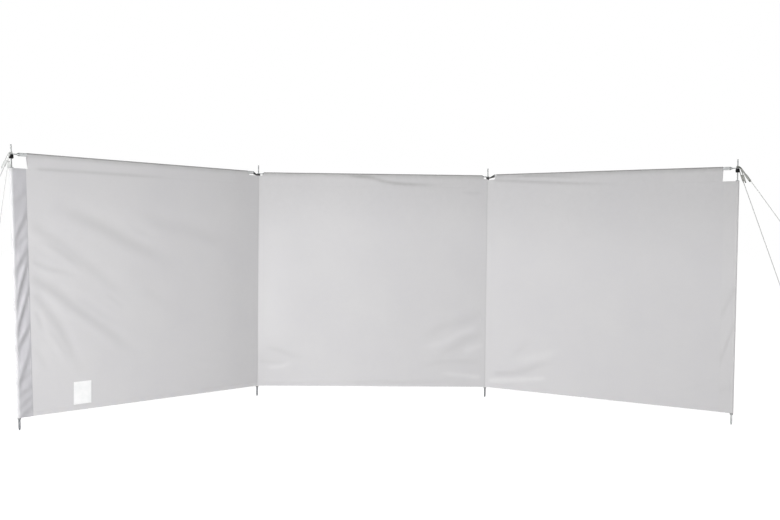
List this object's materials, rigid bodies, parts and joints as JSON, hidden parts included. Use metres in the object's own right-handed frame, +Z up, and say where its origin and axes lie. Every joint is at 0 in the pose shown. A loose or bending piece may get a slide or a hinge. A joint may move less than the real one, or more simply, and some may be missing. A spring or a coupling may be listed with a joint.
{
  "type": "beach windbreak",
  "caption": "Folding beach windbreak of plain cloth bays on spiked steel ground poles, with top bars in tunnels and guy ropes at both ends.",
  "frame": {"origin": "blunt tip of the inner left pole's ground spike, at ground level", "axes": "+X along the middle bay to the right, +Y to the windward back side of the cloth, +Z up; the end bays turn forward to -Y"},
  "size_m": [5.5715, 2.1652, 1.5071],
  "materials": {
    "panel_cloth": "matt light grey coated polyester",
    "sleeve_cloth": "matt grey coated polyester",
    "label_cloth": "matt white woven patch, blank",
    "tube_steel": "satin grey coated steel tube",
    "bright_steel": "zinc plated steel",
    "black_plastic": "black moulded plastic",
    "grey_plastic": "grey moulded plastic",
    "rope": "light grey braided rope"
  },
  "bodies": {
    "root": {"bar_left": "tube_steel", "bar_middle": "tube_steel", "bar_right": "tube_steel", "eye_left_outer": "bright_steel", "eye_middle_left": "bright_steel", "eye_middle_right": "bright_steel", "eye_right_outer": "bright_steel", "guy_left_back": "rope", "guy_left_front": "rope", "guy_right_back": "rope", "guy_right_front": "rope", "hook_left_inner": "black_plastic", "hook_right_inner": "black_plastic", "knob_outer_left": "black_plastic", "knob_outer_right": "black_plastic", "label_patch": "label_cloth", "panel_left": "panel_cloth", "panel_middle": "panel_cloth", "panel_right": "panel_cloth", "peg_left_back": "bright_steel", "peg_left_front": "bright_steel", "peg_right_back": "bright_steel", "peg_right_front": "bright_steel", "pin_inner_left": "bright_steel", "pin_inner_right": "bright_steel", "pin_outer_left": "bright_steel", "pin_outer_right": "bright_steel", "pole_inner_left": "tube_steel", "pole_inner_right": "tube_steel", "pole_outer_left": "tube_steel", "pole_outer_right": "tube_steel", "sleeve_inner_left": "sleeve_cloth", "sleeve_inner_right": "sleeve_cloth", "sleeve_outer_left": "sleeve_cloth", "sleeve_outer_right": "sleeve_cloth", "spike_inner_left": "bright_steel", "spike_inner_right": "bright_steel", "spike_outer_left": "bright_steel", "spike_outer_right": "bright_steel", "stop_inner_left": "black_plastic", "stop_inner_right": "black_plastic", "tensioner_left_back": "grey_plastic", "tensioner_left_front": "grey_plastic", "tensioner_right_back": "grey_plastic", "tensioner_right_front": "grey_plastic"}
  },
  "joints": []
}
